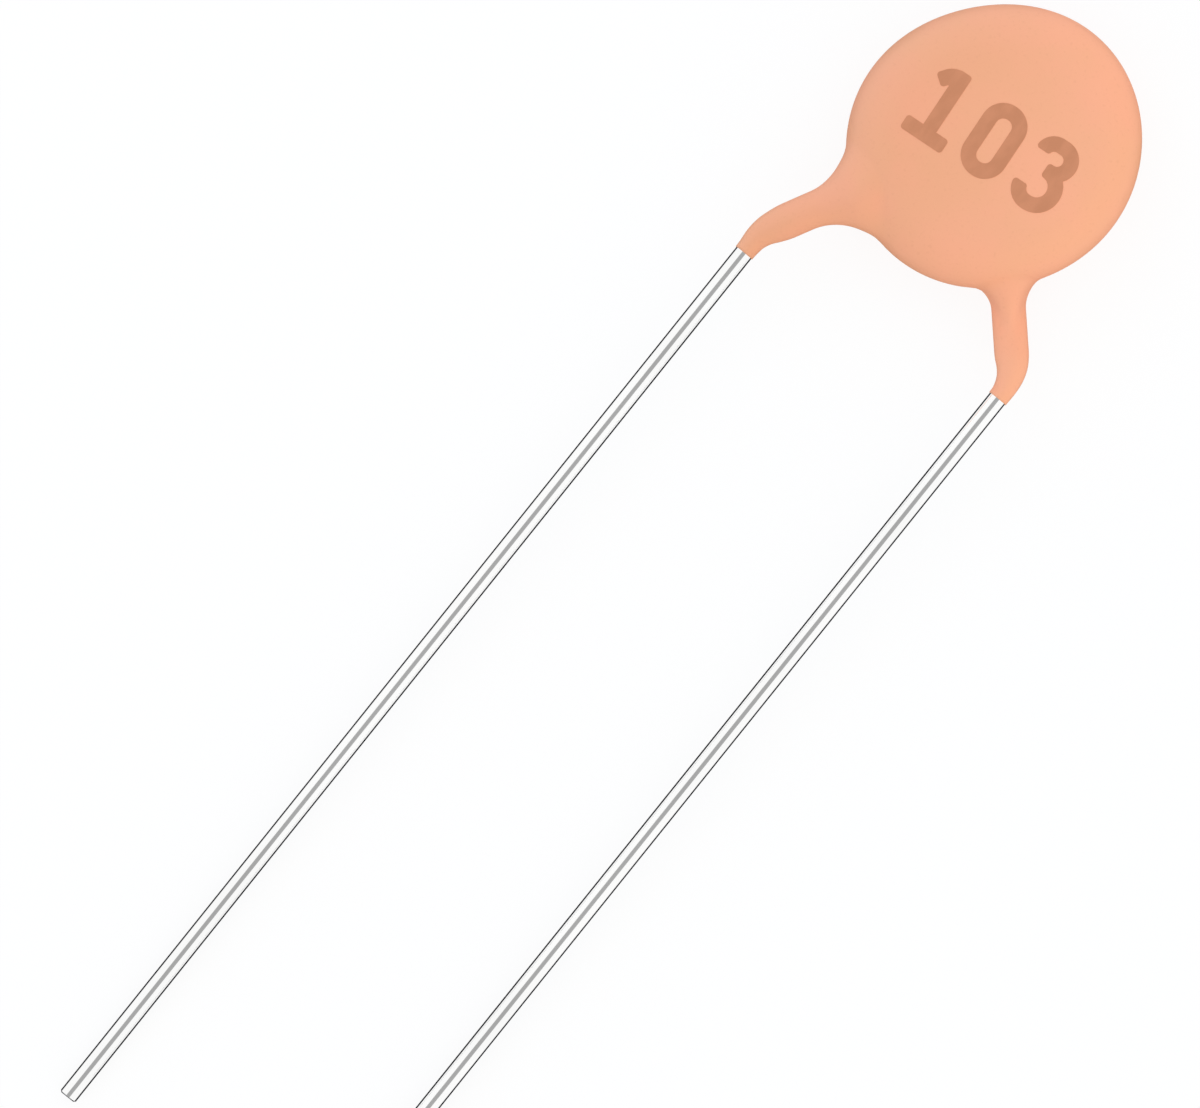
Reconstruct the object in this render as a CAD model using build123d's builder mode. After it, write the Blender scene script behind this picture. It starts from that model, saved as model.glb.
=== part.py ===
from build123d import *
from math import radians, sqrt, tan
import os

# A leaded ceramic disc capacitor, in millimetres, lying on the back face of its coat.
# The origin is the middle of that face, +Z is up and the two leads run along -Y,
# down to the surface that the coat lies on.

# Ceramic disc and its silver electrodes
ceramic_diameter = 6.2
ceramic_thickness = 0.7
ceramic_edge_chamfer = 0.08
electrode_margin = 0.35  # bare ceramic round each electrode
electrode_thickness = 0.03

# Lead wires: each crosses one face of the disc, leaves past the rim and turns down at its bend
wire_diameter = 0.5
lead_pitch = 7.5
lead_shift = 0.43  # the pair of leads stands this far to the right of the disc
lead_drop = 30.61  # coat's lower edge down to the cut ends
left_bend_drop = 1.76  # coat's lower edge down to the bend of the left lead
right_bend_drop = 0.66
crossing_shift = 0.2  # the wires cross this far to the left of the disc's centre
crossing_rise = 0.4  # and this far above it
wire_overrun = 1.5  # from the crossing on to the wire's inner end
wire_rim_clearance = 0.15  # the wire stays level this far past the ceramic's rim
rim_bend_radius = 1.0
lead_bend_radius = 1.3
wire_tip_chamfer = 0.05

# Solder that beds each wire on its electrode
solder_film = 0.03  # under the wire
solder_height = 0.34  # above the electrode
solder_width = 1.3
solder_cap = 0.25  # past the wire's inner end
solder_margin = 0.3  # inside the electrode's edge
solder_slope = 40  # degrees

# Dipped resin coat: a cushion with a leg down each wire
coat_over_wire = 0.46
coat_over_rim = 0.69
coat_flat_diameter = 4.6  # level middle of each face
leg_wall = 0.18  # resin round the wire
leg_end_wall = 0.03  # at the end of a leg
leg_root_depth = 0.3  # a leg starts this far inside the wire's rim bend
left_leg_tail = 0.36  # from the lead's bend to the end of the left leg
right_leg_tail = 0.1
left_blend_radius = 1.6  # hollow between the coat's edge and the side of a leg
right_blend_radius = 0.6
leg_flare_shares = (0.15, 0.45)  # sections of that hollow, from the coat's edge to the plain leg
leg_taper_shares = (0, 0.35, 0.7, 1)  # sections of a leg's taper, from its bend to its end

# Sizes that follow
wire_radius = wire_diameter / 2
ceramic_radius = ceramic_diameter / 2
electrode_radius = ceramic_radius - electrode_margin
electrode_level = ceramic_thickness / 2 + electrode_thickness
wire_level = electrode_level + solder_film + wire_radius
mid_height = wire_level + wire_radius + coat_over_wire
coat_radius = ceramic_radius + coat_over_rim
coat_flat_radius = coat_flat_diameter / 2
leg_radius = wire_radius + leg_wall
rim_bend_distance = ceramic_radius + wire_rim_clearance
crossing = Vector(-crossing_shift, crossing_rise, mid_height)
up = Vector(0, 0, 1)
front = 1
back = -1


def leg_point(bend, distance):
    """Point of the line from a bend to the crossing that lies at a distance from the disc's axis."""
    inward = (crossing - bend).normalized()
    reach = -(bend.X * inward.X + bend.Y * inward.Y)
    miss = bend.X * inward.Y - bend.Y * inward.X
    return bend + inward * (reach - sqrt(distance**2 - miss**2))


def wire_corners(lead_x, bend_drop, face):
    """Inner end, rim bend, lead bend and cut end of a wire on the front or the back of the disc."""
    bend = Vector(lead_x, -coat_radius - bend_drop, mid_height)
    lift = up * wire_level * face
    inner_end = crossing + (crossing - bend).normalized() * wire_overrun + lift
    rim_bend = leg_point(bend, rim_bend_distance) + lift
    cut_end = Vector(lead_x, -coat_radius - lead_drop, wire_radius)
    return inner_end, rim_bend, bend, cut_end


def make_electrode(face):
    with BuildPart() as electrode:
        with BuildSketch(Plane.XY.offset(mid_height + face * ceramic_thickness / 2)):
            Circle(electrode_radius)
        extrude(amount=face * electrode_thickness)
    return electrode


def make_lead(corners):
    with BuildPart() as lead:
        with BuildLine() as path:
            FilletPolyline(*corners, radius=[rim_bend_radius, lead_bend_radius])
        with BuildSketch(Plane(path.line @ 0, z_dir=path.line % 0)):
            Circle(wire_radius)
        sweep()
        cut_face = lead.faces().sort_by(Axis.Y)[0]
        chamfer(cut_face.edges(), wire_tip_chamfer)
    return lead


def make_solder(corners, face, lead):
    """Bed of solder with sloping sides, from past the wire's inner end to near the electrode's edge."""
    inner_end, rim_bend, bend, cut_end = corners
    outward = (rim_bend - inner_end).normalized()
    first = inner_end - outward * solder_cap
    last = leg_point(bend, electrode_radius - solder_margin)
    middle = (first + last) / 2
    foot = Vector(middle.X, middle.Y, mid_height + face * electrode_level)
    length = Vector(last.X - first.X, last.Y - first.Y).length
    with BuildPart() as solder:
        with BuildSketch(Plane(foot, x_dir=outward, z_dir=up * face)):
            SlotOverall(length, solder_width)
        extrude(amount=solder_height, taper=solder_slope)
        add(lead.part, mode=Mode.SUBTRACT)
    return solder


def leg_path(corners, tail):
    """Middle line of a leg: the wire's own, from its rim bend to a tail past the lead's bend."""
    inner_end, rim_bend, bend, cut_end = corners
    down = (cut_end - bend).normalized()
    turn = radians(down.get_angle(bend - rim_bend))
    leg_end = bend + down * (lead_bend_radius * tan(turn / 2) + tail)
    return FilletPolyline(rim_bend, bend, leg_end, radius=lead_bend_radius)


def flare_sections(blend_radius):
    """Distances from the disc's axis, and half widths there, of a leg hollowed to meet the coat's edge.

    The hollow is an arc that touches the side of the leg and, seen from above, the round coat.
    """
    hollow_end = sqrt((coat_radius + blend_radius) ** 2 - (leg_radius + blend_radius) ** 2)
    hollow_start = hollow_end * coat_radius / (coat_radius + blend_radius)
    sections = []
    for share in leg_flare_shares:
        short = (1 - share) * (hollow_end - hollow_start)
        half_width = leg_radius + blend_radius - sqrt(blend_radius**2 - short**2)
        sections.append((hollow_end - short, half_width))
    return sections


def across(point, along):
    """Plane across a leg, with its X level."""
    return Plane(point, x_dir=up.cross(along), z_dir=along)


os.makedirs("parts", exist_ok=True)

left_corners = wire_corners(lead_shift - lead_pitch / 2, left_bend_drop, front)
right_corners = wire_corners(lead_shift + lead_pitch / 2, right_bend_drop, back)
legs = (
    (leg_path(left_corners, left_leg_tail), left_blend_radius),
    (leg_path(right_corners, right_leg_tail), right_blend_radius),
)

with BuildPart() as ceramic_disc:
    with BuildSketch(Plane.XY.offset(mid_height - ceramic_thickness / 2)):
        Circle(ceramic_radius)
    extrude(amount=ceramic_thickness)
    chamfer(ceramic_disc.edges().filter_by(GeomType.CIRCLE), ceramic_edge_chamfer)

pieces = {
    "ceramic_disc": ceramic_disc,
    "front_electrode": make_electrode(front),
    "back_electrode": make_electrode(back),
    "left_lead": make_lead(left_corners),
    "right_lead": make_lead(right_corners),
}
pieces["front_solder"] = make_solder(left_corners, front, pieces["left_lead"])
pieces["back_solder"] = make_solder(right_corners, back, pieces["right_lead"])

# The coat: its cushion is a level face each side of a rim of elliptical section. A leg leaves the
# rim flared and thins to a round bar, which shrinks to the wire through the lead's bend.
# The hollow inside is the shape of the pieces that the coat was dipped over.
with BuildPart() as coating:
    with BuildSketch(Plane.YZ):
        with BuildLine():
            Line((0, 0), (coat_flat_radius, 0))
            EllipticalCenterArc(
                (coat_flat_radius, mid_height),
                coat_radius - coat_flat_radius,
                mid_height,
                start_angle=-90,
                arc_size=180,
            )
            Line((coat_flat_radius, 2 * mid_height), (0, 2 * mid_height))
            Line((0, 2 * mid_height), (0, 0))
        make_face()
    revolve(axis=Axis.Z)
    for path, blend_radius in legs:
        straight = path.edges().sort_by(path)[0]
        along = straight % 0
        level_share = sqrt(1 - along.Z**2)
        sections = flare_sections(blend_radius)
        with BuildSketch(across(straight @ 0 - along * leg_root_depth, along)):
            Ellipse(sections[0][1], leg_radius)
        for distance, half_width in sections:
            past_bend = (distance - rim_bend_distance) / level_share
            with BuildSketch(across(straight @ 0 + along * past_bend, along)):
                Ellipse(half_width, leg_radius)
        bend_share = straight.length / path.length
        for share in leg_taper_shares:
            place = bend_share + share * (1 - bend_share)
            shrunk = share**2 * (3 - 2 * share)
            with BuildSketch(across(path @ place, path % place)):
                Circle(leg_radius - shrunk * (leg_wall - leg_end_wall))
        loft()
    for piece in pieces.values():
        add(piece.part, mode=Mode.SUBTRACT)
pieces["coating"] = coating

for name, piece in pieces.items():
    piece.part.label = name
    export_step(piece.part, f"parts/{name}.step")
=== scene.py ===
import math
import bpy
import numpy as np
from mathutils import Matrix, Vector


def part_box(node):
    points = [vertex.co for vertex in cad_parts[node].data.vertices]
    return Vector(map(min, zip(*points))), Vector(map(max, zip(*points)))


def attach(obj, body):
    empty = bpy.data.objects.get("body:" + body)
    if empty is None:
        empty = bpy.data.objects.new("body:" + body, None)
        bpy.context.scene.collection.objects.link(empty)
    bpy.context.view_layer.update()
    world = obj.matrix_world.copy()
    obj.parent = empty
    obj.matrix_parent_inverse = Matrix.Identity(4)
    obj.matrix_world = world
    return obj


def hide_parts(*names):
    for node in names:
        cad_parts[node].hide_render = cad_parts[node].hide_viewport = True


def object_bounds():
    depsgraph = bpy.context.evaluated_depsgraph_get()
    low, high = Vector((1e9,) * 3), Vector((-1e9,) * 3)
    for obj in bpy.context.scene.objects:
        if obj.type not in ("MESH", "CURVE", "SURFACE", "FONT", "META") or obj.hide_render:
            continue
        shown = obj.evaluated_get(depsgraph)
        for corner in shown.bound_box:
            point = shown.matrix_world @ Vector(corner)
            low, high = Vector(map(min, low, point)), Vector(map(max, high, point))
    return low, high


# a leaded disc capacitor that lies on the back face of its coat, with its wires along -Y

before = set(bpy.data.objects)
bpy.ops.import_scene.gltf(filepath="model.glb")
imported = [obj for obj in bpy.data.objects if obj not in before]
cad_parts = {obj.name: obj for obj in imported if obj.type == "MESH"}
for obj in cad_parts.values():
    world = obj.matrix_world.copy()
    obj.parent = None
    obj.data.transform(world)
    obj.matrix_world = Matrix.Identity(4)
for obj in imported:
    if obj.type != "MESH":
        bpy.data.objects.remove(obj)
cadLow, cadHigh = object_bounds()
mm = 0.001  # every size below is in millimetres, and a mesh gets it in metres
tiny = 1e-9  # keeps a quotient finite and tells the end of a path
sideSign = dict(left=-1, right=1)  # which way along X each wire stands
print("frame:", len(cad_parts), "nodes")


# arrays

def unit(v):  # v over its own length
    return v / np.linalg.norm(v, axis=-1, keepdims=True)


def smoothStep(x, start, end):  # 0 before start, 1 after end, level at both
    t = np.clip((x - start) / (end - start), 0, 1)
    return t * t * (3 - 2 * t)


def roundCorners(corners, radii, steps):
    # corner points joined by straight runs, each inner corner cut by an arc of its radius;
    # each arc point is the arc's middle plus the radius along a direction turned evenly
    path = [corners[0]]
    for before, corner, after, radius in zip(corners, corners[1:], corners[2:], radii):
        back, on = unit(before - corner), unit(after - corner)
        halfAngle = np.arccos(np.clip(back @ on, -1, 1)) / 2
        middle = corner + unit(back + on) * radius / np.sin(halfAngle)
        start = corner + back * radius / np.tan(halfAngle)
        out, along = unit(start - middle), -back
        turn = np.linspace(0, np.pi - 2 * halfAngle, steps)[:, None]
        path.extend(middle + radius * (np.cos(turn) * out + np.sin(turn) * along))
    path.append(corners[-1])
    return np.array(path)


def pathRun(path):  # length from a polyline's start to each of its points
    return np.append(0, np.cumsum(np.linalg.norm(np.diff(path, axis=0), axis=1)))


def evenPoints(path, places):  # points of a polyline at given lengths from its start
    run = pathRun(path)
    return np.stack([np.interp(places, run, path[:, i]) for i in range(3)], axis=1)


def acrossPath(path):  # direction along a path at each point, and the level side and rise square to it
    along = unit(np.gradient(path, axis=0))
    side = unit(np.cross(along, (0, 0, 1)))
    return along, side, np.cross(side, along)


def tubeFaces(rows, columns):  # quads of a grid whose columns run round and close, and its two end faces
    r = np.arange(rows - 1)[:, None] * columns
    c = np.arange(columns)
    d = (c + 1) % columns
    quads = np.stack([r + c, r + d, r + columns + d, r + columns + c], axis=-1).reshape(-1, 4)
    return quads.tolist() + [c[::-1].tolist(), (c + (rows - 1) * columns).tolist()]


def sheetFaces(rows, columns):  # quads of an open grid
    r = np.arange(rows - 1)[:, None] * columns
    c = np.arange(columns - 1)
    return np.stack([r + c, r + c + 1, r + columns + c + 1, r + columns + c], axis=-1).reshape(-1, 4)


def addPiece(name, points, faces, material, stands=(), smooth=True, sharp=None):
    # a mesh of points given in millimetres; edges that turn by more than the sharp angle stay sharp
    mesh = bpy.data.meshes.new(name)
    mesh.from_pydata((points.reshape(-1, 3) * mm).tolist(), [], faces)
    mesh.polygons.foreach_set("use_smooth", np.full(len(mesh.polygons), smooth))
    mesh.validate()
    mesh.update()
    if sharp:
        mesh.set_sharp_from_angle(angle=math.radians(sharp))
    mesh.materials.append(material)
    piece = bpy.data.objects.new(name, mesh)
    bpy.context.scene.collection.objects.link(piece)
    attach(piece, "root")
    if stands:
        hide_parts(*stands)
    print(name, len(mesh.vertices), "points", len(mesh.polygons), "faces")


# materials

noiseSpread = (0.3, 0.7)  # most values of a noise lie between these


def newMaterial(name):
    material = bpy.data.materials.new(name)
    material.use_nodes = True
    return material, material.node_tree, material.node_tree.nodes["Principled BSDF"]


def addNode(tree, kind, **values):  # a value goes to the socket of that name, or else to the node
    node = tree.nodes.new(kind)
    for key, value in values.items():
        if key in node.inputs:
            node.inputs[key].default_value = value
        else:
            setattr(node, key, value)
    return node


def feed(tree, socket, source):  # another node's output is linked to the socket, and a value is set on it
    if isinstance(source, bpy.types.NodeSocket):
        tree.links.new(source, socket)
    else:
        socket.default_value = source


def noiseOn(tree, stretch=(1, 1, 1), shift=(0, 0, 0), **values):
    # noise on Object coordinates counted in millimetres
    coords = addNode(tree, "ShaderNodeTexCoord")
    mapping = addNode(tree, "ShaderNodeMapping", Location=shift, Scale=[s / mm for s in stretch])
    noise = addNode(tree, "ShaderNodeTexNoise", **values)
    tree.links.new(coords.outputs["Object"], mapping.inputs["Vector"])
    tree.links.new(mapping.outputs["Vector"], noise.inputs["Vector"])
    return noise.outputs["Fac"]


def mathOn(tree, operation, *sources):
    node = addNode(tree, "ShaderNodeMath", operation=operation)
    for socket, source in zip(node.inputs, sources):
        feed(tree, socket, source)
    return node.outputs["Value"]


def rampFrom(tree, source, over, colours, ease="EASE"):  # one colour to another over a range of a value
    ramp = addNode(tree, "ShaderNodeValToRGB")
    ramp.color_ramp.interpolation = ease
    for element, place, colour in zip(ramp.color_ramp.elements, over, colours):
        element.position = place
        element.color = (*colour, 1)
    tree.links.new(source, ramp.inputs["Fac"])
    return ramp.outputs["Color"]


def rangeFrom(tree, source, over, onto, ease="LINEAR"):  # one range of a value stretched onto another
    spread = addNode(tree, "ShaderNodeMapRange", interpolation_type=ease)
    for socket, value in zip(("From Min", "From Max", "To Min", "To Max"), (*over, *onto)):
        spread.inputs[socket].default_value = value
    tree.links.new(source, spread.inputs["Value"])
    return spread.outputs["Result"]


def mixColours(tree, kind, share, first, second):
    mix = addNode(tree, "ShaderNodeMix", data_type="RGBA", blend_type=kind)
    for socket, source in (("Factor", share), ("A", first), ("B", second)):
        feed(tree, mix.inputs[socket], source)
    return mix.outputs["Result"]


def mixShaders(tree, share, first, second):
    mix = addNode(tree, "ShaderNodeMixShader")
    for socket, source in zip(mix.inputs, (share, first, second)):
        tree.links.new(source, socket)
    return mix.outputs["Shader"]


def bumpFrom(tree, shader, *layers):  # layers of (height value, depth in millimetres)
    normal = None
    for height, depth in layers:
        bump = addNode(tree, "ShaderNodeBump", Strength=1.0, Distance=depth * mm)
        tree.links.new(height, bump.inputs["Height"])
        if normal:
            tree.links.new(normal, bump.inputs["Normal"])
        normal = bump.outputs["Normal"]
    tree.links.new(normal, shader.inputs["Normal"])


# the resin's two drift colours are the painted shaded side and the painted lit side of the face
resinLook = dict(dullMistAndShadedSide=(0.885, 0.393, 0.219), paintedLitSide=(0.99, 0.444, 0.256), run=(0.93, 0.36, 0.0), reach=5.0,
                 slow=0.225, wander=3.4, blotch=0.45, blotchOver=(0.31, 0.69), flat=0.7,
                 tan=(0.967, 0.985, 0.94), pink=(1.0, 0.97, 0.975), speck=11.0, speckOver=(0.28, 0.42),
                 dust=(0.97, 0.96, 0.955), clean=(1.0, 1.0, 1.0), rough=(0.42, 0.54),
                 peel=2.6, peelDepth=0.010, grain=16.0, grainDepth=0.0016)


def makeResin(look=resinLook):
    # painted light: the face runs from a darker, duller shaded side to a lighter, warmer lit side along
    # one direction, blurred by slow noise, with tan and pink blotches over it
    material, tree, shader = newMaterial("dippedResin")
    flat = look["flat"]  # blotches run longer through the thickness; the front face keeps their places
    lie = dict(stretch=(1, 1, flat), shift=(0, 0, (1 - flat) * cadHigh.z / mm))
    blotch = noiseOn(tree, **lie, Scale=look["blotch"], Detail=3.0, Roughness=0.55)
    slow = noiseOn(tree, **lie, Scale=look["slow"], Detail=1.0)
    speck = noiseOn(tree, Scale=look["speck"], Detail=2.0)
    peel = noiseOn(tree, Scale=look["peel"], Detail=2.0)
    grain = noiseOn(tree, Scale=look["grain"], Detail=2.0)
    coords = addNode(tree, "ShaderNodeTexCoord")
    along = addNode(tree, "ShaderNodeVectorMath", operation="DOT_PRODUCT")
    along.inputs[1].default_value = [r / mm for r in look["run"]]
    tree.links.new(coords.outputs["Object"], along.inputs[0])
    # painted light: a drift along the run that makes one side of the face lighter than the other
    paintedLightDrift = mathOn(tree, "MULTIPLY_ADD", slow, look["wander"], along.outputs["Value"])
    middle = look["wander"] / 2  # a noise varies about a half
    ends = middle - look["reach"], middle + look["reach"]
    share = rangeFrom(tree, paintedLightDrift, ends, (0, 1), "SMOOTHSTEP")
    # painted shade and light: the shaded side's colour towards one end of the run, the lit side's towards
    # the other
    tone = rampFrom(tree, share, (0, 1), (look["dullMistAndShadedSide"], look["paintedLitSide"]), "LINEAR")
    patch = rampFrom(tree, blotch, look["blotchOver"], (look["tan"], look["pink"]))
    dust = rampFrom(tree, speck, look["speckOver"], (look["dust"], look["clean"]))
    colour = mixColours(tree, "MULTIPLY", 1.0, tone, patch)
    colour = mixColours(tree, "MULTIPLY", 1.0, colour, dust)
    tree.links.new(colour, shader.inputs["Base Color"])
    tree.links.new(rangeFrom(tree, blotch, noiseSpread, look["rough"]), shader.inputs["Roughness"])
    bumpFrom(tree, shader, (peel, look["peelDepth"]), (grain, look["grainDepth"]))
    return material


inkLook = dict(full=(0.59, 0.226, 0.104), thin=(0.64, 0.248, 0.118), streak=3.2, streakStretch=(1, 0.5, 1),
               streakOver=(0.35, 0.68), rough=(0.4, 0.52), fleck=18.0, fleckDepth=0.001)


def makeInk(look=inkLook):  # full to thin in short streaks up the figures, with a fine fleck
    material, tree, shader = newMaterial("stampedInk")
    streak = noiseOn(tree, look["streakStretch"], Scale=look["streak"], Detail=3.0)
    fleck = noiseOn(tree, Scale=look["fleck"], Detail=1.0)
    colour = rampFrom(tree, streak, look["streakOver"], (look["full"], look["thin"]))
    tree.links.new(colour, shader.inputs["Base Color"])
    tree.links.new(rangeFrom(tree, streak, noiseSpread, look["rough"]), shader.inputs["Roughness"])
    bumpFrom(tree, shader, (fleck, look["fleckDepth"]))
    return material


wireLook = dict(bright=(0.985, 0.985, 0.98), dullMistAndShadedSide=(0.95, 0.95, 0.945), edge=(0.8, 0.8, 0.8, 1),
                mist=0.7, mistStretch=(1, 0.4, 1), mistOver=(0.3, 0.6), rough=(0.07, 0.13),
                drawn=9.0, drawnStretch=(1, 0.03, 1), drawnDepth=0.0005,
                cutRough=0.38, cutFrom=0.047, cutSoft=0.01)


def makeTinnedWire(look=wireLook):
    # bright metal with a duller mist, fine marks along the wire and rougher snipped ends
    material, tree, shader = newMaterial("tinnedWire")
    drawn = noiseOn(tree, look["drawnStretch"], Scale=look["drawn"], Detail=3.0)
    mist = noiseOn(tree, look["mistStretch"], Scale=look["mist"], Detail=3.0)
    colour = rampFrom(tree, mist, look["mistOver"], (look["dullMistAndShadedSide"], look["bright"]))
    tree.links.new(colour, shader.inputs["Base Color"])
    coords = addNode(tree, "ShaderNodeTexCoord")
    place = addNode(tree, "ShaderNodeSeparateXYZ")
    tree.links.new(coords.outputs["Object"], place.inputs[0])
    cutLine = cadLow.y + look["cutFrom"] * mm
    cutOver = cutLine, cutLine + look["cutSoft"] * mm
    cut = rangeFrom(tree, place.outputs["Y"], cutOver, (look["cutRough"], 0))
    rough = mathOn(tree, "MAXIMUM", rangeFrom(tree, mist, noiseSpread, look["rough"]), cut)
    tree.links.new(rough, shader.inputs["Roughness"])
    shader.inputs["Metallic"].default_value = 1.0
    shader.inputs["Specular Tint"].default_value = look["edge"]  # dims the metal a little at a slant
    bumpFrom(tree, shader, (drawn, look["drawnDepth"]))
    return material


insideLooks = {
    "dielectric": dict(nodes=("ceramic_disc",), low=(0.50, 0.36, 0.24), high=(0.62, 0.47, 0.33),
                       grain=9.0, rough=(0.6, 0.78), depth=0.006, metal=0.0),
    "silver_film": dict(nodes=("front_electrode", "back_electrode"), low=(0.66, 0.66, 0.65),
                        high=(0.84, 0.84, 0.83), grain=14.0, rough=(0.34, 0.5), depth=0.003, metal=1.0),
    "solder": dict(nodes=("front_solder", "back_solder"), low=(0.62, 0.63, 0.64), high=(0.80, 0.81, 0.82),
                   grain=3.5, rough=(0.16, 0.34), depth=0.02, metal=1.0)}
insideOver = (0.32, 0.66)  # values of the grain at which a tone is low and high


def dressInside(slotName, look):  # low to high tone, roughness and relief, all from one grain
    material, tree, shader = newMaterial(slotName + "Finish")
    grain = noiseOn(tree, Scale=look["grain"], Detail=4.0)
    colour = rampFrom(tree, grain, insideOver, (look["low"], look["high"]))
    tree.links.new(colour, shader.inputs["Base Color"])
    tree.links.new(rangeFrom(tree, grain, noiseSpread, look["rough"]), shader.inputs["Roughness"])
    shader.inputs["Metallic"].default_value = look["metal"]
    bumpFrom(tree, shader, (grain, look["depth"]))
    for nodeName in look["nodes"]:
        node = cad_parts[nodeName]
        node.data.materials.clear()
        node.data.materials.append(material)
    print(slotName, "on", ", ".join(look["nodes"]))


# wires: the runs are the frame's own, from over the disc to the cut ends

wire = dict(radius=0.25, crossing=(-0.2, 0.4), overrun=1.5, rimBend=3.25, lift=0.66,
            bendRadii=(1.0, 1.3), bendDrop=dict(left=5.55, right=4.45),
            around=48, bendSteps=10, straightSteps=90, tipChamfer=0.05, tipRidge=0.035,
            tipRings=(0.8, 0.55, 0.3, 0.03), sharp=12)
discLow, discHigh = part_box("ceramic_disc")
midHeight = (discLow.z + discHigh.z) / 2 / mm


def wireCorners(side):
    # inner end, rim bend, lead bend and cut end; over the disc the wire lies on its line from
    # the bend to the crossing, level at the lift above (left) or below (right) the disc's middle
    low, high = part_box(side + "_lead")
    leadX = low.x / mm + wire["radius"] if side == "left" else high.x / mm - wire["radius"]
    lift = np.array((0, 0, -sideSign[side] * wire["lift"]))
    bend = np.array((leadX, -wire["bendDrop"][side], midHeight))
    crossing = np.array((*wire["crossing"], midHeight))
    inward = unit(crossing - bend)
    reach, miss = -(bend[:2] @ inward[:2]), bend[0] * inward[1] - bend[1] * inward[0]
    rimBend = bend + inward * (reach - math.sqrt(wire["rimBend"] ** 2 - miss ** 2)) + lift
    cutEnd = np.array((leadX, low.y / mm, wire["radius"]))
    return np.array((crossing + inward * wire["overrun"] + lift, rimBend, bend, cutEnd))


def makeWire(side, material):
    # a circle carried along the wire's run, plain at its inner end; the cut end is chamfered and
    # closed by shrinking rings that lie on two flats with a ridge between them
    path = roundCorners(wireCorners(side), wire["bendRadii"], wire["bendSteps"])
    path = np.vstack([path[:-1], np.linspace(path[-2], path[-1], wire["straightSteps"])[1:]])
    along, across, rise = acrossPath(path)
    turn = np.linspace(0, 2 * np.pi, wire["around"], endpoint=False)[:, None]
    circle = wire["radius"] * (np.cos(turn) * across[:, None] + np.sin(turn) * rise[:, None])
    tube = path[:, None] + circle
    tube[-1] -= along[-1] * wire["tipChamfer"]
    shares = np.array(wire["tipRings"])[:, None, None]
    drop = wire["tipRidge"] * np.abs(shares * np.sin(turn))
    cut = path[-1] + shares * circle[-1] - along[-1] * drop
    rings = np.concatenate([tube, cut])
    faces = [face[::-1] for face in tubeFaces(len(rings), wire["around"])]
    addPiece(side + "Wire", rings, faces, material, [side + "_lead"], sharp=wire["sharp"])


# coat: a cushion with an oval outline and a leg down each wire, joined by hollow arcs. Its surface is
# where a field of distances is zero, found along rays in upright sections from one leg's end, through
# the cushion, to the other leg's end

coat = dict(ovalRadius=3.775, halfThickness=1.37, rimDepth=1.45, rimPower=2.4,
            # count, swell and turn of each wave
            ovalWaves=((1, 0.02, -60), (2, 0.119, 62.6), (3, 0.018, -44), (4, 0.021, 2)),
            legStart=dict(left=0.47, right=0.45), legEnd=0.275, legShift=0.03,
            tail=dict(left=0.36, right=0.1), taper=dict(left=1.5, right=1.35),
            # radius on the outer side of a leg and on its inner side
            hollow=dict(left=(1.0, 1.25), right=(0.62, 0.54)),
            hollowTurn=0.4, shoulder=0.75, joinOver=(-1.1, 0.25), rootDepth=0.35, levelShare=0.2,
            bendSteps=14, legSteps=46, fanSteps=190, around=160, marchSteps=32)


def legPath(side):
    # the wire's run from its inner end to the end of the resin, set a little to the right where the
    # resin is thick, and the length of it before the rim bend
    inner, rimBend, bend, cutEnd = wireCorners(side)
    down, out = unit(cutEnd - bend), unit(bend - rimBend)
    turn = np.arccos(down @ out)
    end = bend + down * (wire["bendRadii"][1] * np.tan(turn / 2) + coat["tail"][side])
    path = roundCorners(np.array((inner, rimBend, bend, end)), wire["bendRadii"], coat["bendSteps"])
    toEnd = np.linalg.norm(path - path[-1], axis=1)
    path[:, 0] += coat["legShift"] * smoothStep(toEnd, 0, coat["taper"][side])
    return path, np.linalg.norm(rimBend - inner)


legRuns = {side: legPath(side) for side in sideSign}


def nearestOnPath(points, path):
    # for each point, in plan: distance to the path, length run along it, its height there and
    # how far to the side of it the point lies
    start, step, run = path[:-1], np.diff(path, axis=0), pathRun(path)
    gap = points[:, None, :2] - start[None, :, :2]
    share = np.clip((gap * step[None, :, :2]).sum(-1) / (step[:, :2] ** 2).sum(-1), 0, 1)
    foot = gap - share[..., None] * step[None, :, :2]
    reach = np.hypot(foot[..., 0], foot[..., 1])
    best = reach.argmin(1)
    rows = np.arange(len(points))
    t = share[rows, best]
    length = run[best] + t * (run[best + 1] - run[best])
    height = start[best, 2] + t * step[best, 2]
    aside = step[best, 0] * gap[rows, best, 1] - step[best, 1] * gap[rows, best, 0]
    return reach[rows, best], length, height, aside / np.hypot(step[best, 0], step[best, 1])


def ovalGap(points):  # plan distance outside the cushion's outline, a circle with a few waves
    angle = np.arctan2(points[:, 1], points[:, 0])
    gap = np.hypot(points[:, 0], points[:, 1]) - coat["ovalRadius"]
    for count, swell, turn in coat["ovalWaves"]:
        gap = gap - swell * np.cos(count * (angle - math.radians(turn)))
    return gap


def rimShare(oval):  # 0 on the level part of a face, rising to 1 at the outline
    return np.maximum(1 + oval / coat["rimDepth"], 0)


def faceHeight(points):  # front face of the cushion: level, then a superellipse down to the rim
    power = coat["rimPower"]
    drop = np.maximum(1 - rimShare(ovalGap(points)) ** power, 0) ** (1 / power)
    return midHeight + coat["halfThickness"] * drop


def hollowJoin(a, b, radius):
    # union of two shapes with a hollow arc of that radius in the corner between them
    corner = np.hypot(np.maximum(radius - a, 0), np.maximum(radius - b, 0))
    return np.maximum(radius, np.minimum(a, b)) - corner


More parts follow.
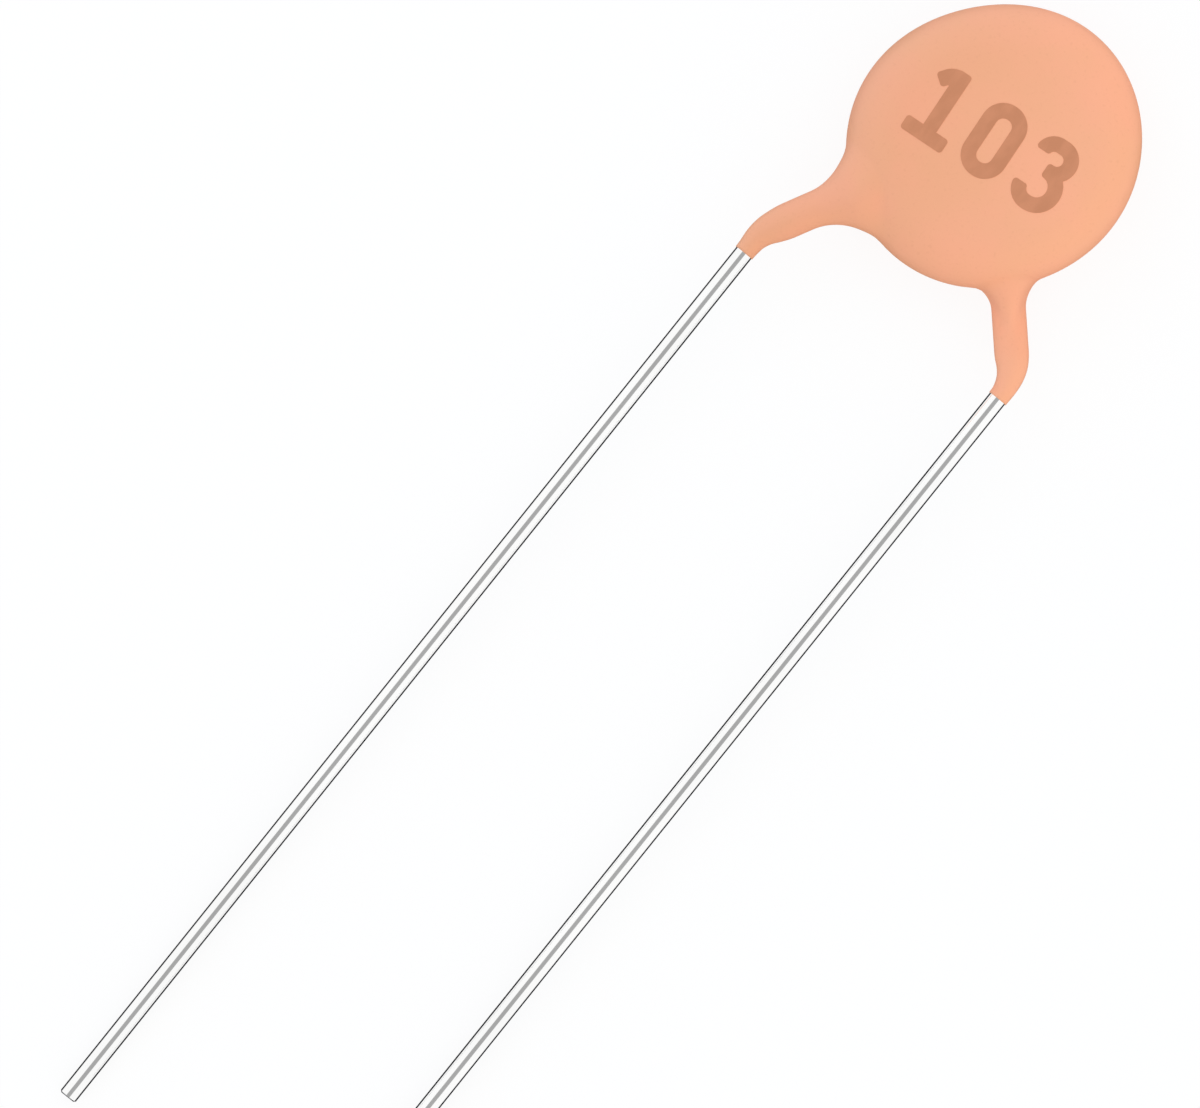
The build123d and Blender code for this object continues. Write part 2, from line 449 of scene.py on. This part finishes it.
def coatGap(points):
    # distance outside the coat: the cushion joined to each leg, a bar that thins to the wire at its end;
    # the hollow between them fades out over the rim, so that the faces stay level
    power, oval = coat["rimPower"], ovalGap(points)
    up = np.abs(points[:, 2] - midHeight) / coat["halfThickness"]
    gap = ((rimShare(oval) ** power + up ** power) ** (1 / power) - 1) * coat["halfThickness"]
    near = np.flatnonzero((oval > coat["joinOver"][0]) & (points[:, 1] < 0))
    points, cushion = points[near], gap[near]
    fade = smoothStep(oval[near], *coat["joinOver"])
    for side, sign in sideSign.items():
        path, _ = legRuns[side]
        reach, length, height, aside = nearestOnPath(points, path)
        thick = smoothStep(pathRun(path)[-1] - length, 0, coat["taper"][side])
        radius = coat["legEnd"] + (coat["legStart"][side] - coat["legEnd"]) * thick
        rise = points[:, 2] - height
        leg = np.hypot(reach, rise) - radius
        outer, inner = coat["hollow"][side]
        outerShare = smoothStep(aside * sign, -coat["hollowTurn"], coat["hollowTurn"])
        hollow = inner + (outer - inner) * outerShare
        lean = np.maximum(rise * sign, 0) ** 2 / (reach ** 2 + rise ** 2 + tiny)
        hollow += coat["shoulder"] * lean ** 2  # more under the left leg and over the right one
        gap[near] = np.minimum(gap[near], hollowJoin(cushion, leg, hollow * fade))
    return gap


def reachSurface(origins, directions):
    # lengths along rays from inside the coat to its surface: each step goes on by the distance left
    lengths = np.zeros(len(origins))
    for _ in range(coat["marchSteps"]):
        lengths -= coatGap(origins + directions * lengths[:, None])
    return lengths


def coatStations():
    # middle and outward direction of each section: square to each leg, and between the legs a fan
    # about the point where the first section of one leg meets the first section of the other
    ends = {}
    for side, sign in sideSign.items():
        path, toRim = legRuns[side]
        places = np.linspace(toRim + coat["rootDepth"], pathRun(path)[-1], coat["legSteps"])
        middles = evenPoints(path, places)
        _, across, _ = acrossPath(middles)
        ends[side] = middles, -sign * across
    (leftMiddles, leftOut), (rightMiddles, rightOut) = ends["left"], ends["right"]
    first, last = leftMiddles[0], rightMiddles[0]
    spread = np.stack([leftOut[0, :2], -rightOut[0, :2]], axis=1)
    pivot = first + leftOut[0] * np.linalg.solve(spread, (last - first)[:2])[0]
    start, end = (math.atan2(p[1] - pivot[1], p[0] - pivot[0]) for p in (first, last))
    start += 2 * np.pi if start < end else 0
    share = np.linspace(0, 1, coat["fanSteps"] + 2)[1:-1]
    angle = start + (end - start) * share
    fanOut = np.stack([np.cos(angle), np.sin(angle), np.zeros_like(angle)], axis=1)
    level = first[2] + (midHeight - first[2]) * smoothStep(share, 0, coat["levelShare"])
    level += (last[2] - midHeight) * smoothStep(share, 1 - coat["levelShare"], 1)
    spans = [np.linalg.norm((p - pivot)[:2]) for p in (first, last)]
    plain = spans[0] + (spans[1] - spans[0]) * share
    bowed = np.hypot(*pivot[:2]) * np.sqrt(np.sin(np.pi * share))  # passes the middle of the cushion
    swing = np.maximum(plain, bowed)[:, None]
    fanMiddles = np.column_stack([pivot[:2] + fanOut[:, :2] * swing, level])
    middles = np.vstack([leftMiddles[::-1], fanMiddles, rightMiddles])
    return middles, np.vstack([leftOut[::-1], fanOut, rightOut])


def makeCoat(material):
    # a section is a ring of rays aimed at an ellipse as wide and as tall as the coat is there
    middles, outward = coatStations()
    upward = np.broadcast_to((0.0, 0.0, 1.0), outward.shape)
    out, back, up, down = (reachSurface(middles, d) for d in (outward, -outward, upward, -upward))
    turn = np.linspace(0, 2 * np.pi, coat["around"], endpoint=False)
    wide = np.where(np.cos(turn) > 0, out[:, None], back[:, None]) * np.cos(turn)
    tall = np.where(np.sin(turn) > 0, up[:, None], down[:, None]) * np.sin(turn)
    rays = unit(wide[..., None] * outward[:, None] + tall[..., None] * upward[:, None]).reshape(-1, 3)
    origins = np.repeat(middles, coat["around"], axis=0)
    rings = origins + rays * reachSurface(origins, rays)[:, None]
    faces = tubeFaces(len(middles), coat["around"])
    addPiece("resinCoat", rings, faces, material, ["coating"])


# print: each glyph is the union of strokes of one width, laid on the front face as a thin sheet

stamp = dict(tilt=5.0, level=0.01, halfWidth=0.2, corner=0.09, thick=0.006, sunk=0.012,
             places=(("one", -1.67), ("nought", -0.08), ("three", 1.54)), field=(0.9, 1.3), cell=0.02,
             bendSteps=12, slides=4, slideShare=0.47, probeShare=0.02, leastSlope=0.5)
glyphs = dict(
    one=(dict(corners=((-0.64, -0.85), (0.62, -0.85))),
         dict(corners=((0.03, -0.85), (0.03, 1.05))),
         dict(corners=((0.03, 0.85), (-0.22, 0.83), (-0.47, 0.52)), radii=(0.4,))),
    nought=(dict(corners=((0, -0.85), (0.42, -0.85), (0.42, 0.85), (-0.42, 0.85), (-0.42, -0.85),
                          (0, -0.85)),
                 radii=(0.41, 0.41, 0.41, 0.41), closed=True),),
    three=(dict(corners=((-0.44, 0.5), (-0.44, 0.85), (0.38, 0.85), (0.38, 0.12), (-0.12, 0.12)),
                radii=(0.34, 0.36, 0.36)),
           dict(corners=((-0.12, 0.12), (0.43, 0.12), (0.43, -0.85), (-0.47, -0.85), (-0.47, -0.46)),
                radii=(0.48, 0.48, 0.38))))


def strokeGap(points, corners, radii=(), closed=False):
    # distance outside a stroke: a flat end is squared off past the path's end and its corners rounded
    path = roundCorners(np.array([(*c, 0.0) for c in corners]), radii, stamp["bendSteps"])
    reach, length, _, _ = nearestOnPath(points, path)
    half, corner, total = stamp["halfWidth"], stamp["corner"], pathRun(path)[-1]
    if closed:
        return reach - half
    past = -np.minimum(length, total - length)
    ends = (path[0], path[1], length < tiny), (path[-1], path[-2], length > total - tiny)
    for end, inner, there in ends:
        past = np.where(there, (points - end[:2]) @ unit(end - inner)[:2], past)
    beside = np.sqrt(np.maximum(reach ** 2 - np.maximum(past, 0) ** 2, 0)) - half + corner
    past = past + corner
    outer = np.hypot(np.maximum(beside, 0), np.maximum(past, 0))
    return outer + np.minimum(np.maximum(beside, past), 0) - corner


def glyphGap(points, strokes):  # the least of the distances outside the strokes
    return np.min([strokeGap(points, **stroke) for stroke in strokes], axis=0)


def makeGlyph(name, place, material):
    # cells whose middle is inside the strokes are kept, and the border's points slide on to the outline,
    # each by less than half a cell, so that two neighbours never meet
    strokes, cell = glyphs[name], stamp["cell"]
    across, up = (np.arange(-half, half, cell) for half in stamp["field"])
    grid = np.stack(np.meshgrid(across, up, indexing="xy"), axis=-1)
    middles = (grid[:-1, :-1] + cell / 2).reshape(-1, 2)
    kept = sheetFaces(len(up), len(across))[glyphGap(middles, strokes) < 0]
    used, cells = np.unique(kept, return_inverse=True)
    cells = cells.reshape(-1, 4)
    points = grid.reshape(-1, 2)[used]
    edges = np.stack([cells, np.roll(cells, -1, axis=1)], axis=-1).reshape(-1, 2)
    _, which, count = np.unique(np.sort(edges, axis=1), axis=0, return_inverse=True, return_counts=True)
    border = edges[count[which.ravel()] == 1]
    rim = np.unique(border)
    start, step, most = points[rim], stamp["probeShare"] * cell, stamp["slideShare"] * cell
    for _ in range(stamp["slides"]):
        spots = points[rim]
        gap = glyphGap(spots, strokes)
        slope = np.stack([glyphGap(spots + way * step, strokes) - gap for way in np.eye(2)], axis=1) / step
        steep = np.maximum((slope ** 2).sum(1, keepdims=True), stamp["leastSlope"] ** 2)
        points[rim] = start + np.clip(spots - gap[:, None] * slope / steep - start, -most, most)
    tilt = math.radians(stamp["tilt"])
    right = np.array((math.cos(tilt), math.sin(tilt)))
    rise = np.array((-math.sin(tilt), math.cos(tilt)))
    plan = (points[:, :1] + place) * right + (points[:, 1:] + stamp["level"]) * rise
    face = faceHeight(plan)
    top = np.column_stack([plan, face + stamp["thick"]])
    bottom = np.column_stack([plan, face - stamp["sunk"]])
    n, (a, b) = len(top), border.T
    walls = np.column_stack([a, a + n, b + n, b])
    faces = np.vstack([cells, cells[:, ::-1] + n, walls]).tolist()
    addPiece("print_" + name, np.vstack([top, bottom]), faces, material, smooth=False)


resin = makeResin()
ink = makeInk()
tinned = makeTinnedWire()
for slotName, look in insideLooks.items():
    dressInside(slotName, look)
makeCoat(resin)
for side in sideSign:
    makeWire(side, tinned)
for name, place in stamp["places"]:
    makeGlyph(name, place, ink)


# stage, light and camera

studio = dict(floorSize=900.0, floorDrop=0.01, floorColour=(0.96, 0.96, 0.96, 1), floorRough=0.9,
              floorGlow=0.88, floorBounce=0.7, white=(1, 1, 1, 1), skyLow=0.94, skyHigh=1.06,
              coolSide=(0.42, 0.72, 1.15, 1), coolOver=(-0.4, -0.95),
              stripeHalf=24.0, stripeSoft=0.1, stripeGrey=0.40, endGrey=0.42, endOver=(0.3, 0.95),
              deep=(0.012, 0.013, 0.016, 1), deepOver=(-0.36, -0.5))


def makeFloor():
    # a pale matt sheet that mostly glows, less so in the light it throws back, and is clear from below
    size, drop = studio["floorSize"] * mm, studio["floorDrop"] * mm
    mesh = bpy.data.meshes.new("floor")
    corners = [(x * size, y * size, -drop) for x, y in ((-1, -1), (1, -1), (1, 1), (-1, 1))]
    mesh.from_pydata(corners, [], [(0, 1, 2, 3)])
    floor = bpy.data.objects.new("floor", mesh)
    bpy.context.scene.collection.objects.link(floor)
    material, tree, matt = newMaterial("whiteTable")
    matt.inputs["Base Color"].default_value = studio["floorColour"]
    matt.inputs["Roughness"].default_value = studio["floorRough"]
    matt.inputs["Specular IOR Level"].default_value = 0.0
    glow = addNode(tree, "ShaderNodeEmission", Color=studio["white"], Strength=1.0)
    clear = addNode(tree, "ShaderNodeBsdfTransparent")
    path = addNode(tree, "ShaderNodeLightPath")
    facing = addNode(tree, "ShaderNodeNewGeometry")
    glows = studio["floorGlow"], studio["floorBounce"]
    glowShare = rangeFrom(tree, path.outputs["Is Diffuse Ray"], (0, 1), glows)
    upper = mixShaders(tree, glowShare, matt.outputs["BSDF"], glow.outputs["Emission"])
    oneSided = mixShaders(tree, facing.outputs["Backfacing"], upper, clear.outputs["BSDF"])
    tree.links.new(oneSided, tree.nodes["Material Output"].inputs["Surface"])
    mesh.materials.append(material)
    floor.visible_glossy = False


def makeSky():
    # soft light, brighter overhead and cool from the left; mirrors see white that greys towards both
    # ends of the part, a grey strip overhead along the wires and, well under the horizon, a near black
    # that draws the edges of the wires
    world = bpy.data.worlds.new("sky")
    bpy.context.scene.world = world
    world.use_nodes = True
    tree = world.node_tree
    background = tree.nodes["Background"]
    coords = addNode(tree, "ShaderNodeTexCoord")
    parts = addNode(tree, "ShaderNodeSeparateXYZ")
    path = addNode(tree, "ShaderNodeLightPath")
    tree.links.new(coords.outputs["Generated"], parts.inputs[0])
    x, y, z = parts.outputs
    level = rangeFrom(tree, z, (0, 1), (studio["skyLow"], studio["skyHigh"]))
    coolShare = rangeFrom(tree, x, studio["coolOver"], (0, 1))
    light = mixColours(tree, "MIX", coolShare, level, studio["coolSide"])
    lean = mathOn(tree, "ABSOLUTE", mathOn(tree, "ARCTAN2", x, z))
    half, soft = math.radians(studio["stripeHalf"]), studio["stripeSoft"]
    strip = rangeFrom(tree, lean, (half * (1 - soft), half * (1 + soft)), (studio["stripeGrey"], 1))
    dim = rangeFrom(tree, mathOn(tree, "ABSOLUTE", y), studio["endOver"], (1, studio["endGrey"]))
    under = rangeFrom(tree, z, studio["deepOver"], (0, 1))
    mirror = mixColours(tree, "MULTIPLY", 1.0, strip, dim)
    mirror = mixColours(tree, "MIX", under, mirror, studio["deep"])
    colour = mixColours(tree, "MIX", path.outputs["Is Glossy Ray"], light, mirror)
    colour = mixColours(tree, "MIX", path.outputs["Is Transmission Ray"], colour, studio["white"])
    colour = mixColours(tree, "MIX", path.outputs["Is Camera Ray"], colour, studio["white"])
    tree.links.new(colour, background.inputs["Color"])
    background.inputs["Strength"].default_value = 1.0


lamps = dict(key=dict(place=(-150, 40, 130), size=90, power=0.03, colour=(0.97, 0.98, 1.0)),
             rim=dict(place=(-120, 90, 22), size=60, power=0.02, colour=(0.86, 0.9, 1.0)))


def makeLamp(name, place, size, power, colour):  # a square lamp that faces the origin
    data = bpy.data.lights.new(name, "AREA")
    data.size = size * mm
    data.energy = power
    data.color = colour
    lamp = bpy.data.objects.new(name, data)
    bpy.context.scene.collection.objects.link(lamp)
    x, y, z = place
    tilt = math.pi / 2 - math.atan2(z, math.hypot(x, y))
    spin = math.atan2(-y, -x) - math.pi / 2
    lamp.location = [p * mm for p in place]
    lamp.rotation_euler = (tilt, 0, spin)
    lamp.visible_glossy = False


shot = dict(turn=38.73, centre=(-1.344, -14.679), width=31.185, level=1.0, lens=300.0, sensor=36.0,
            clip=(10.0, 5000.0))


def makeCamera():  # looks straight down, from as high as the lens needs to take in the width at its level
    data = bpy.data.cameras.new("camera")
    data.lens = shot["lens"]
    data.sensor_width = shot["sensor"]
    data.clip_start, data.clip_end = (c * mm for c in shot["clip"])
    camera = bpy.data.objects.new("camera", data)
    bpy.context.scene.collection.objects.link(camera)
    distance = shot["width"] * shot["lens"] / shot["sensor"]
    camera.location = (*(c * mm for c in shot["centre"]), (shot["level"] + distance) * mm)
    camera.rotation_euler = (0, 0, math.radians(shot["turn"]))
    bpy.context.scene.camera = camera


makeFloor()
makeSky()
for name, lamp in lamps.items():
    makeLamp(name, **lamp)
makeCamera()
bpy.context.scene.view_settings.view_transform = "Standard"
print("stage, light and camera ready")
